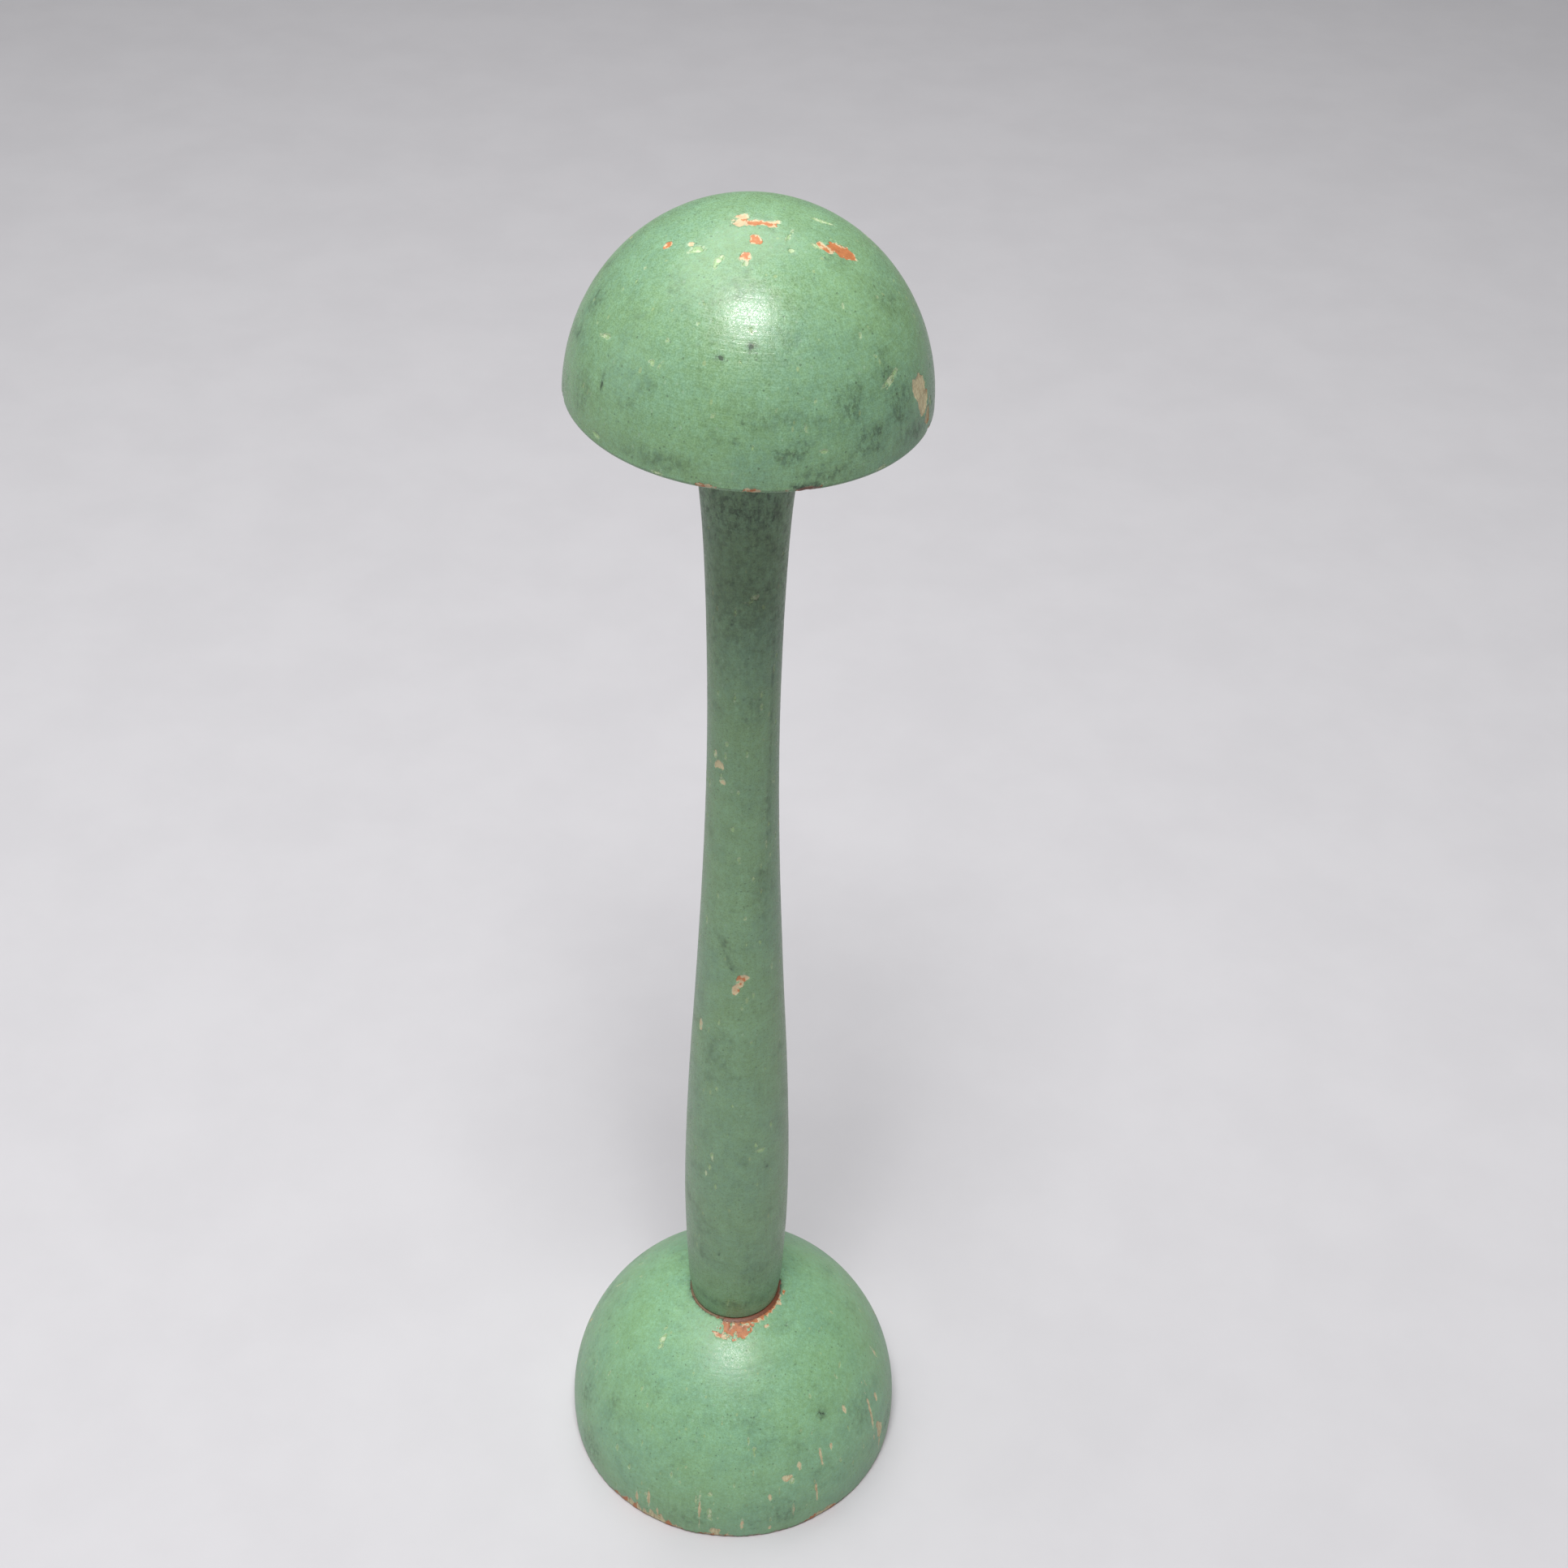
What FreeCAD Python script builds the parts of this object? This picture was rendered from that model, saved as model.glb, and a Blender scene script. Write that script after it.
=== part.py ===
"""Turned wooden hat stand: a domed base, a waisted stem, a domed head and the screw that holds the stem down.

Row frame: millimetres, +Z up along the turning axis, origin on the floor under that axis.
Every piece is turned, so each is drawn as half a section in the XZ plane and spun about the axis.
The head leans a little towards +X, because the top of the stem was cut out of square.
"""
import FreeCAD, Part
import math
import os

V = FreeCAD.Vector

# ---- driving dimensions -------------------------------------------------------------------------------------
HEAD_R = 50.0            # head, radius at the rim, where it is widest
HEAD_RISE = 53.5         # rim plane to crown
HEAD_RIM_Z = 444.0       # height of the head's flat underside, on the axis
HEAD_EDGE_R = 1.6        # rounded lower edge of the head
HEAD_LEAN = 2.4          # degrees that the head leans towards +X
BASE_R = 61.0            # base, radius at its belly
BASE_BELLY_Z = 8.2       # height of the belly above the floor
BASE_RISE = 64.5         # belly to the top that the dome would have without its seat
BASE_EDGE_R = 1.2        # rounded lower edge of the base
BASE_LAND_W = 11.0       # width of the ring that the base stands on
BASE_DISH = 1.5          # depth of the shallow dish inside that ring

SEAT_R = 16.4            # flat spot turned on top of the base for the stem
FOOT_R = 15.9            # stem radius just above its foot
FOOT_EDGE_R = 1.0        # rounded edge of the foot
SHOULDER_R = 18.5        # stem radius where it meets the head's underside

SPIGOT_R = 10.0          # short spigot that centres the stem in the base
SPIGOT_L = 15.0
TENON_R = 8.0            # tenon glued into the head
TENON_L = 30.0
TENON_CHAMFER = 1.0
GLUE_GAP = 0.05          # radial room for glue round a tenon
END_GAP = 0.6            # room past the end of a tenon

SCREW_L = 101.6          # four-inch countersunk wood screw
SCREW_R = 3.1            # shank and thread, outside
SCREW_CORE_R = 2.2       # root of the thread
SCREW_HEAD_R = 6.2
SCREW_HEAD_ANGLE = 82.0  # whole cone angle
SCREW_HEAD_RIM = 0.4     # short upright edge of the head
SCREW_PLAIN_L = 46.0     # unthreaded shank
SCREW_POINT_L = 6.0
SCREW_PITCH = 3.0
THREAD_HALF_ROOT = 0.6   # half the thread's width at its root
THREAD_HALF_CREST = 0.12
SLOT_W = 1.5
SLOT_DEPTH = 1.6
SCREW_SUNK = 1.0         # how far the screw's head lies inside the dish
SCREW_PLAY = 0.1         # radial room round the shank, in the base and in the stem
PILOT_TIP_ANGLE = 118.0  # drill point at the end of the stem's pilot hole

# ---- worked out from those ----------------------------------------------------------------------------------
BASE_FLOOR_R = BASE_R * math.sqrt(1 - (BASE_BELLY_Z / BASE_RISE) ** 2)
SEAT_Z = BASE_BELLY_Z + BASE_RISE * math.sqrt(1 - (SEAT_R / BASE_R) ** 2)
SPIGOT_END_Z = SEAT_Z - SPIGOT_L
SCREW_HEAD_Z = BASE_DISH + SCREW_SUNK
SCREW_TIP_Z = SCREW_HEAD_Z + SCREW_L
SCREW_NECK_Z = (
    SCREW_HEAD_Z + SCREW_HEAD_RIM
    + (SCREW_HEAD_R - SCREW_R) / math.tan(math.radians(SCREW_HEAD_ANGLE / 2))
)
THREAD_START_Z = SCREW_NECK_Z + SCREW_PLAIN_L
THREAD_END_Z = SCREW_TIP_Z - SCREW_POINT_L

# Radius of the stem at chosen heights: full above the foot, waisted in the upper half, spreading under the head.
STEM_OUTLINE = [
    (SEAT_Z + FOOT_EDGE_R, FOOT_R),
    (84.0, 17.1),
    (128.0, 18.2),
    (182.0, 16.75),
    (240.0, 13.75),
    (300.0, 11.4),
    (350.0, 11.0),
    (400.0, 12.4),
    (428.0, 15.0),
    (HEAD_RIM_Z, SHOULDER_R),
]


def at(radius, height):
    """A point of a half section."""
    return V(radius, 0, height)


def lines(*points):
    return [Part.makeLine(start, end) for start, end in zip(points, points[1:])]


def spin(edges):
    """The solid that a closed half section makes in one full turn about the axis."""
    wire = Part.Wire(Part.__sortEdges__(edges))
    return Part.Face(wire).revolve(V(0, 0, 0), V(0, 0, 1), 360)


def cylinder(radius, low, high):
    return Part.makeCylinder(radius, high - low, at(0, low))


def lean(shape):
    """Tips a shape with the head, about the middle of the head's underside."""
    shape.rotate(at(0, HEAD_RIM_Z), V(0, 1, 0), HEAD_LEAN)
    return shape


def dome_arc(centre_z, radius, rise, low, high):
    """The outer side of an upright ellipse on the axis, taller than it is wide, between two heights."""
    curve = Part.Ellipse(at(0, centre_z + rise), at(radius, centre_z), at(0, centre_z))
    ends = []
    for height in (low, high):
        out = radius * math.sqrt(max(0.0, 1 - ((height - centre_z) / rise) ** 2))
        ends.append(curve.parameter(at(out, height)))
    return curve.toShape(min(ends), max(ends))


def round_rim(solid, fillet_r, height, rim_r):
    """Rounds the one circular edge that lies at this height and radius."""
    rims = []
    for edge in solid.Edges:
        box = edge.BoundBox
        if abs(box.ZMin - height) < 0.01 and box.ZLength < 0.01 and abs(box.XMax - rim_r) < 0.01:
            rims.append(edge)
    return solid.makeFillet(fillet_r, rims)


def plug(radius, root_z, end_z):
    """A round tenon, chamfered at its end."""
    chamfer_z = end_z + math.copysign(TENON_CHAMFER, root_z - end_z)
    return spin(lines(
        at(0, root_z), at(radius, root_z), at(radius, chamfer_z),
        at(radius - TENON_CHAMFER, end_z), at(0, end_z), at(0, root_z),
    ))


def screw_sink():
    """Countersink that the screw's head bears on, and the clearance hole from there up to the stem's socket."""
    drill_r = SCREW_R + SCREW_PLAY
    sink_rim_z = SCREW_HEAD_Z + SCREW_HEAD_RIM
    sink_end_z = sink_rim_z + (SCREW_HEAD_R - drill_r) / math.tan(math.radians(SCREW_HEAD_ANGLE / 2))
    return spin(lines(
        at(0, 0), at(SCREW_HEAD_R, 0), at(SCREW_HEAD_R, sink_rim_z),
        at(drill_r, sink_end_z), at(drill_r, SEAT_Z), at(0, SEAT_Z), at(0, 0),
    ))


def base_dome():
    """Dome cut flat just below its belly, with a seat and a socket on top and a shallow dish underneath."""
    outline = [dome_arc(BASE_BELLY_Z, BASE_R, BASE_RISE, 0, SEAT_Z)]
    outline += lines(at(SEAT_R, SEAT_Z), at(0, SEAT_Z), at(0, 0), at(BASE_FLOOR_R, 0))
    dome = round_rim(spin(outline), BASE_EDGE_R, 0, BASE_FLOOR_R)
    land_r = BASE_FLOOR_R - BASE_LAND_W
    dish = spin(lines(
        at(0, 0), at(land_r, 0), at(land_r - 2 * BASE_DISH, BASE_DISH), at(0, BASE_DISH), at(0, 0),
    ))
    socket = cylinder(SPIGOT_R + GLUE_GAP, SPIGOT_END_Z - END_GAP, SEAT_Z)
    return dome.cut([dish, screw_sink(), socket])


def stem_side():
    """The turned outline of the stem, from its foot to its shoulder."""
    curve = Part.BSplineCurve()
    curve.interpolate([at(radius, height) for height, radius in STEM_OUTLINE])
    return curve.toShape()


def pilot_hole():
    """Hole in the stem's foot for the screw."""
    drill_r = SCREW_R + SCREW_PLAY
    point_z = SCREW_TIP_Z + drill_r / math.tan(math.radians(PILOT_TIP_ANGLE / 2))
    return spin(lines(
        at(0, SPIGOT_END_Z), at(drill_r, SPIGOT_END_Z), at(drill_r, SCREW_TIP_Z),
        at(0, point_z), at(0, SPIGOT_END_Z),
    ))


def stem():
    """Spindle with a spigot at its foot and a tenon at its top, which is cut out of square to tip the head."""
    flat_r = FOOT_R - FOOT_EDGE_R
    knee = FOOT_EDGE_R * math.sqrt(0.5)
    foot_edge = Part.Arc(
        at(flat_r, SEAT_Z), at(flat_r + knee, SEAT_Z + FOOT_EDGE_R - knee), at(FOOT_R, SEAT_Z + FOOT_EDGE_R)
    ).toShape()
    outline = [stem_side(), foot_edge]
    outline += lines(at(SHOULDER_R, HEAD_RIM_Z), at(0, HEAD_RIM_Z), at(0, SEAT_Z), at(flat_r, SEAT_Z))
    spare = cylinder(SHOULDER_R, HEAD_RIM_Z, HEAD_RIM_Z + 2)
    blank = spin(outline).fuse(spare)
    above = lean(cylinder(HEAD_R, HEAD_RIM_Z, HEAD_RIM_Z + HEAD_RISE))
    spigot = plug(SPIGOT_R, SEAT_Z, SPIGOT_END_Z)
    tenon = lean(plug(TENON_R, HEAD_RIM_Z, HEAD_RIM_Z + TENON_L))
    return blank.cut(above).fuse([spigot, tenon]).cut(pilot_hole()).removeSplitter()


def head_dome():
    """Dome cut flat at its widest, with a blind mortise for the stem's tenon."""
    crown_z = HEAD_RIM_Z + HEAD_RISE
    outline = [dome_arc(HEAD_RIM_Z, HEAD_R, HEAD_RISE, HEAD_RIM_Z, crown_z)]
    outline += lines(at(0, crown_z), at(0, HEAD_RIM_Z), at(HEAD_R, HEAD_RIM_Z))
    dome = round_rim(spin(outline), HEAD_EDGE_R, HEAD_RIM_Z, HEAD_R)
    mortise = cylinder(TENON_R + GLUE_GAP, HEAD_RIM_Z, HEAD_RIM_Z + TENON_L + END_GAP)
    return lean(dome.cut(mortise))


def screw_thread():
    """A sharp rib wound on the core."""
    start = THREAD_START_Z + SCREW_PITCH / 2
    path = Part.makeHelix(SCREW_PITCH, THREAD_END_Z - SCREW_PITCH / 2 - start, SCREW_CORE_R)
    path.translate(at(0, start))
    root = SCREW_CORE_R - 0.2
    rib = Part.makePolygon([
        at(root, start - THREAD_HALF_ROOT), at(SCREW_R, start - THREAD_HALF_CREST),
        at(SCREW_R, start + THREAD_HALF_CREST), at(root, start + THREAD_HALF_ROOT),
        at(root, start - THREAD_HALF_ROOT),
    ])
    return Part.Wire(path.Edges).makePipeShell([rib], True, True)


def base_screw():
    """Countersunk wood screw with a slotted head: plain shank, threaded core and a point."""
    blank = spin(lines(
        at(0, SCREW_HEAD_Z), at(SCREW_HEAD_R, SCREW_HEAD_Z),
        at(SCREW_HEAD_R, SCREW_HEAD_Z + SCREW_HEAD_RIM), at(SCREW_R, SCREW_NECK_Z),
        at(SCREW_R, THREAD_START_Z), at(SCREW_CORE_R, THREAD_START_Z + SCREW_R - SCREW_CORE_R),
        at(SCREW_CORE_R, THREAD_END_Z), at(0, SCREW_TIP_Z), at(0, SCREW_HEAD_Z),
    ))
    slot = Part.makeBox(
        2 * SCREW_HEAD_R + 2, SLOT_W, SLOT_DEPTH, V(-SCREW_HEAD_R - 1, -SLOT_W / 2, SCREW_HEAD_Z)
    )
    return blank.fuse(screw_thread()).cut(slot)


def main():
    os.makedirs("parts", exist_ok=True)
    pieces = {
        "base_dome": base_dome(),
        "stem": stem(),
        "head_dome": head_dome(),
        "base_screw": base_screw(),
    }
    for name, shape in pieces.items():
        box = shape.BoundBox
        print(
            f"{name}: valid {shape.isValid()}, solids {len(shape.Solids)}, {shape.Volume / 1000:.2f} cm3, "
            f"z {box.ZMin:.2f} to {box.ZMax:.2f}"
        )
        shape.exportStep(f"parts/{name}.step")


main()
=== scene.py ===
import math
import random

import bpy
import numpy as np
from mathutils import Matrix, Vector, noise


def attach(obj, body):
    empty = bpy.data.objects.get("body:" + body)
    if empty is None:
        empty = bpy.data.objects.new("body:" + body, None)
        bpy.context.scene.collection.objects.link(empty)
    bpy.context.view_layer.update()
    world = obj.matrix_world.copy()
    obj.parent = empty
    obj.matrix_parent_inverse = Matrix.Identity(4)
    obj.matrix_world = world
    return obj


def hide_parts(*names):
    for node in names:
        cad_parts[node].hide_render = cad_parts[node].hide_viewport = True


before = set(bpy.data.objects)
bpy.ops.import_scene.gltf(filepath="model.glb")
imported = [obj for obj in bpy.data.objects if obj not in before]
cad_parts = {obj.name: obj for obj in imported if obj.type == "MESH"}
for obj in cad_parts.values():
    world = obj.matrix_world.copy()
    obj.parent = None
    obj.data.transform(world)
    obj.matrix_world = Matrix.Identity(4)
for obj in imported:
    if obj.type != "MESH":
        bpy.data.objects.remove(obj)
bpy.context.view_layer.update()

# ---- The base ------------------------------------------------------------------------------------
# A dome of plain hardwood, turned with its grain upright and cut flat, with a shallow dish under
# it. It is brushed jade green over an older coat of orange red. The paint has chipped in upright
# flakes, has worn off along the bottom edge and has cracked in a ring round the stem's foot.

MM = 0.001
BASE_R = 61.0
BASE_RISE = 64.5
BASE_BELLY_Z = 8.2
BASE_EDGE_R = 1.2
EDGE_START_Z = 0.9
BASE_LAND_W = 11.0
BASE_DISH = 1.5
SEAT_R = 16.4
SOCKET_R = 10.05
SOCKET_DEPTH = 15.6
SCREW_HOLE_R = 3.2
SINK_R = 6.2
SINK_RIM_Z = 2.9
SINK_ANGLE = 41
SINK_END_Z = SINK_RIM_Z + (SINK_R - SCREW_HOLE_R) / math.tan(math.radians(SINK_ANGLE))
FINE = 0.62              # spacing of the mesh along a painted outline
TURN_STEPS = 512         # and the number of its steps round the axis
WELD = 0.002             # points this near each other are one
CREASE_ANGLE = 40        # a corner sharper than this stays sharp

BASE_FLOOR_R = BASE_R * math.sqrt(1 - (BASE_BELLY_Z / BASE_RISE) ** 2)
SEAT_Z = BASE_BELLY_Z + BASE_RISE * math.sqrt(1 - (SEAT_R / BASE_R) ** 2)


def dome_outline(radius, rise, belly_z, start, end):
    """Points down the side of a dome between two angles of latitude, in degrees."""
    count = max(2, round(abs(end - start) * math.radians(radius) / FINE))
    points = []
    for i in range(count + 1):
        angle = math.radians(start + (end - start) * i / count)
        points.append((radius * math.cos(angle), belly_z + rise * math.sin(angle)))
    return points


def rounded_edge(centre_r, centre_z, edge_r, start, end, count=4):
    """Points of a small rounding, between two angles in degrees from straight out."""
    points = []
    for i in range(count + 1):
        angle = math.radians(start + (end - start) * i / count)
        points.append((centre_r + edge_r * math.cos(angle), centre_z + edge_r * math.sin(angle)))
    return points


def filled(outline, gap):
    """The outline with extra points on any run longer than the gap."""
    points = [outline[0]]
    for (r0, z0), (r1, z1) in zip(outline, outline[1:]):
        count = max(1, math.ceil(math.hypot(r1 - r0, z1 - z0) / gap))
        for i in range(1, count + 1):
            points.append((r0 + (r1 - r0) * i / count, z0 + (z1 - z0) * i / count))
    return points


def turn(name, outline, steps):
    """Lathe work: a half section is drawn out, spun through a quarter turn and mirrored twice."""
    bpy.ops.object.select_all(action="DESELECT")
    bpy.ops.mesh.primitive_plane_add(size=MM, location=(0, 0, 0), enter_editmode=True)
    piece = bpy.context.object
    piece.name = name
    bpy.ops.mesh.select_all(action="SELECT")
    bpy.ops.mesh.merge(type="CENTER")
    bpy.ops.transform.translate(value=(outline[0][0] * MM, 0, outline[0][1] * MM))
    for (r0, z0), (r1, z1) in zip(outline, outline[1:]):
        step = ((r1 - r0) * MM, 0, (z1 - z0) * MM)
        bpy.ops.mesh.extrude_region_move(TRANSFORM_OT_translate={"value": step})
    bpy.ops.mesh.select_all(action="SELECT")
    bpy.ops.mesh.spin(steps=steps // 4, angle=math.pi / 2, center=(0, 0, 0), axis=(0, 0, 1))
    bpy.ops.object.mode_set(mode="OBJECT")
    bpy.ops.object.modifier_add(type="MIRROR")
    mirror = piece.modifiers[-1]
    mirror.use_axis = (True, True, False)
    mirror.merge_threshold = WELD * MM
    bpy.ops.object.modifier_apply(modifier=mirror.name)
    bpy.ops.object.mode_set(mode="EDIT")
    bpy.ops.mesh.select_all(action="SELECT")
    bpy.ops.mesh.remove_doubles(threshold=WELD * MM)
    bpy.ops.mesh.normals_make_consistent(inside=False)
    bpy.ops.object.mode_set(mode="OBJECT")
    bpy.ops.object.shade_smooth_by_angle(angle=math.radians(CREASE_ANGLE))
    return piece


def points_of(piece):
    """The places of a mesh's vertices in millimetres, and the way each one faces."""
    count = len(piece.data.vertices)
    places = np.empty(count * 3)
    facing = np.empty(count * 3)
    piece.data.vertices.foreach_get("co", places)
    piece.data.vertices.foreach_get("normal", facing)
    return places.reshape(-1, 3) / MM, facing.reshape(-1, 3)


def grain(places, size, seed=0.0):
    """Smooth noise with features about this many millimetres wide; size may be (across, along)."""
    across, along = size if isinstance(size, tuple) else (size, size)
    shift = Vector((seed, 2 * seed, 3 * seed))
    scale = np.array([1 / across, 1 / across, 1 / along])
    return np.array([noise.noise(Vector(p) + shift) for p in places * scale])


def ease(low, high, value):
    """A smooth step from 0 at low to 1 at high."""
    share = np.clip((value - low) / (high - low), 0, 1)
    return share * share * (3 - 2 * share)


def round_angle(places):
    """Degrees round the axis from the front, positive to the right."""
    return np.degrees(np.arctan2(places[:, 0], -places[:, 1]))


FAR = 2.0                # this many millimetres inside whole or missing paint counts as far
UNPAINTED_LAYER = 2.2    # wood that was never painted lies a little below the layers of paint
UNPAINTED_DIRT = 0.45
RIM_NOISE = (2.4, 3.4)   # the broken rim of paint is ragged at two sizes, across and along
RIM_NOISE_SMALL = (0.9, 1.6)
DIRT_NOISE = (1.2, 2.0)
WOOD_HOLLOW = 0.12       # wood that has lost its paint is worn hollow by this much
SWAY = 0.1               # the turned surface wanders by this much
SWAY_SIZE = 28           # over this length
BRUSH_RIDGE = 0.035      # and the brush left ridges of this height
BRUSH_SIZE = (2.4, 7.0)  # this wide and this long


class Wear:
    """What time has done to the paint at each vertex of one piece, and where shade is painted on it.

    bare: millimetres inside the broken edge of the paint, negative where the paint is whole
    layer: how deep the break goes: 0.3 scrapes the green, 1 shows the red coat, 2 shows the wood
    dirt: how dark the surface is made, 0 clean to 1 black: grime, and in places painted shade
    """

    def __init__(self, piece, painted):
        self.piece = piece
        self.places, self.facing = points_of(piece)
        self.painted = painted(self.places)
        count = len(self.places)
        self.bare = np.where(self.painted, -FAR, FAR)
        self.layer = np.full(count, UNPAINTED_LAYER)
        self.dirt_and_shade = np.where(self.painted, 0.0, UNPAINTED_DIRT)
        self.angle = round_angle(self.places)

    def patch(self, angle, height, across, along, tilt):
        """The vertices near a spot, with their elliptic distance from it, 1 at its rim."""
        turned = (self.angle - angle + 180) % 360 - 180
        radius = np.hypot(self.places[:, 0], self.places[:, 1])
        off = np.hypot(np.radians(turned) * radius, self.places[:, 2] - height)
        off[~self.painted] = np.inf
        seat = off.argmin()
        out = self.facing[seat]
        side = np.array([math.cos(math.radians(angle)), math.sin(math.radians(angle)), 0])
        up = np.cross(out, side)
        up /= np.linalg.norm(up)
        lean = math.radians(tilt)
        wide = side * math.cos(lean) + up * math.sin(lean)
        tall = up * math.cos(lean) - side * math.sin(lean)
        offset = self.places - self.places[seat]
        # far enough out to hold the ragged rim too
        reach = 1.7 * max(across, along) + 1.5
        near = np.flatnonzero(self.painted & (np.abs(offset).max(axis=1) < reach))
        distance = np.hypot(offset[near] @ wide / across, offset[near] @ tall / along)
        return near, distance

    def flake(self, angle, height, across, along, layer, tilt=0, ragged=0.5):
        """A spot where paint has come off; across and along are half its width and length."""
        near, distance = self.patch(angle, height, across, along, tilt)
        small = min(across, along)
        spots = self.places[near]
        rough = grain(spots, RIM_NOISE, angle) + 0.8 * grain(spots, RIM_NOISE_SMALL, height)
        inside = (1 - distance) * small + rough * ragged * min(small, 2.2)
        deeper = inside > self.bare[near]
        changed = near[deeper]
        self.bare[changed] = inside[deeper]
        self.layer[changed] = layer

    def darken_spot(self, angle, height, across, along, strength, tilt=0):
        """A soft dark spot, darkest in the middle: grime, and in places painted shade."""
        near, distance = self.patch(angle, height, across, along, tilt)
        rough = 0.5 * grain(self.places[near], DIRT_NOISE, angle + height)
        soft = strength * ease(1.25, 0.2, distance + rough)
        self.dirt_and_shade[near] = np.maximum(self.dirt_and_shade[near], soft)

    def lay_on(self, paint_thick):
        """Sinks the bare spots by the paint's thickness, and leaves the turned surface uneven."""
        sunk = paint_thick * ease(-0.1, 0.3, self.bare)
        sunk += WOOD_HOLLOW * ease(0.3, 1.6, self.bare) * (self.layer > 1.4)
        sunk += SWAY * (0.5 + 0.5 * grain(self.places, SWAY_SIZE, 3.0))
        sunk += BRUSH_RIDGE * (0.5 + 0.5 * grain(self.places, BRUSH_SIZE, 5.0))
        moved = self.places - self.facing * (sunk * self.painted)[:, None]
        mesh = self.piece.data
        mesh.vertices.foreach_set("co", (moved * MM).ravel())
        for name, values in (("bare", self.bare), ("layer", self.layer), ("dirt_and_shade", self.dirt_and_shade)):
            mesh.attributes.new(name, "FLOAT", "POINT").data.foreach_set("value", values)
        mesh.update()


base_top = math.degrees(math.acos(SEAT_R / BASE_R))
base_low = math.degrees(math.asin((EDGE_START_Z - BASE_BELLY_Z) / BASE_RISE))
land_r = BASE_FLOOR_R - BASE_LAND_W
base_outline = dome_outline(BASE_R, BASE_RISE, BASE_BELLY_Z, base_top, base_low)
base_outline += rounded_edge(BASE_FLOOR_R - BASE_EDGE_R, BASE_EDGE_R, BASE_EDGE_R, -15, -90)
base_outline += filled([(BASE_FLOOR_R - BASE_EDGE_R, 0), (land_r, 0)], 2.0)[1:]
base_outline += filled([(land_r, 0), (land_r - 2 * BASE_DISH, BASE_DISH), (SINK_R, BASE_DISH)], 5.0)[1:]
socket_floor_z = SEAT_Z - SOCKET_DEPTH
base_outline += [(SINK_R, SINK_RIM_Z), (SCREW_HOLE_R, SINK_END_Z), (SCREW_HOLE_R, socket_floor_z)]
base_outline += [(SOCKET_R, socket_floor_z), (SOCKET_R, SEAT_Z)]
base_outline += filled([(SOCKET_R, SEAT_Z), (SEAT_R, SEAT_Z)], FINE)[1:]
base_dome = turn("base_dome_painted", base_outline, TURN_STEPS)


def base_is_painted(places):
    """The dome itself, and not the underside, the screw hole or the socket."""
    radius = np.hypot(places[:, 0], places[:, 1])
    low = (places[:, 2] > 0.02) & (radius > BASE_FLOOR_R - BASE_EDGE_R)
    return low | (places[:, 2] > 2 * BASE_DISH) & (radius > SEAT_R - 0.05)


base_wear = Wear(base_dome, base_is_painted)

# degrees round, height, half width, half length, layer, tilt
BASE_FLAKES = [
    (84, 40, 0.7, 3.4, 0.6, 0),
    (108, 32, 0.6, 4.0, 2.0, 0),
    (70, 32, 1.0, 1.8, 2.0, 0),
    (64, 29, 0.65, 8.5, 2.0, -8),
    (67, 18, 2.0, 4.2, 2.0, 10),
    (66, 11, 0.6, 3.0, 2.0, 0),
    (52, 41, 1.0, 1.9, 2.0, 0),
    (41, 33, 0.65, 1.6, 2.0, 0),
    (36, 31, 0.55, 3.3, 2.0, 0),
    (27, 32, 0.8, 1.7, 2.1, 0),
    (22, 29, 1.9, 1.3, 1.9, 0),
    (23, 27, 1.0, 1.4, 0.4, 0),
    (32, 15, 0.48, 4.2, 2.0, 0),
    (23, 13, 0.5, 3.6, 0.6, 0),
    (15, 22, 0.6, 1.5, 2.1, 0),
    (5, 9, 0.7, 3.2, 0.7, 0),
    (15, 5, 0.65, 1.7, 2.0, 0),
    (-4, 4, 1.8, 2.0, 2.1, 0),
    (-6, 15, 0.8, 3.0, 0.4, 0),
    (-10, 15, 0.5, 7.2, 2.0, 0),
    (-11, 20, 0.5, 3.0, 0.4, 0),
    (-29, 13, 0.7, 4.0, 2.0, 0),
    (-34, 10, 0.6, 3.0, 2.0, 0),
    (-25, 7, 0.5, 2.6, 2.0, 0),
    (-6, 24, 0.9, 1.0, 0.35, 0),
    (-45, 26, 0.5, 1.6, 0.3, 0),
    (62, 52, 1.5, 0.4, 0.3, 20),
    (10, 42, 0.5, 0.7, 0.3, 0),
    (-52, 63, 0.8, 1.6, 0.4, 0),
    (-50, 61.5, 0.7, 1.0, 0.5, 0),
    (-56, 64.5, 0.5, 0.7, 0.4, 0),
    (35, 68.8, 0.9, 0.5, 1.0, 0),
    (83, 69.8, 1.4, 0.6, 1.0, 0),
]
for flake in BASE_FLAKES:
    base_wear.flake(*flake)
# degrees round, height, half width, half length, strength
BASE_SMUDGES = [
    (41, 45, 2.0, 2.4, 0.8),
    (-70, 30, 6, 9, 0.35),
    (75, 14, 8, 5, 0.5),
    (60, 35, 9, 9, 0.35),
    (5, 50, 5, 3, 0.2),
    (20, 12, 9, 7, 0.4),
    (-15, 10, 10, 7, 0.3),
    (-60, 12, 9, 8, 0.4),
    (4, 69.4, 7, 4, 0.5),
]
for dirt_and_shade in BASE_SMUDGES:
    base_wear.darken_spot(*dirt_and_shade)

# the sides that are turned away have the same kind of knocks
knocks = random.Random(11)
for _ in range(30):
    base_wear.flake(
        knocks.uniform(112, 262), knocks.triangular(3, 58, 12), knocks.uniform(0.4, 1.1),
        knocks.uniform(0.9, 4.2), knocks.choice((0.4, 1.7, 2.1, 2.1)),
    )
for _ in range(12):
    base_wear.darken_spot(
        knocks.uniform(100, 320), knocks.uniform(6, 50), knocks.uniform(3, 9),
        knocks.uniform(3, 9), knocks.uniform(0.2, 0.5),
    )
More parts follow.
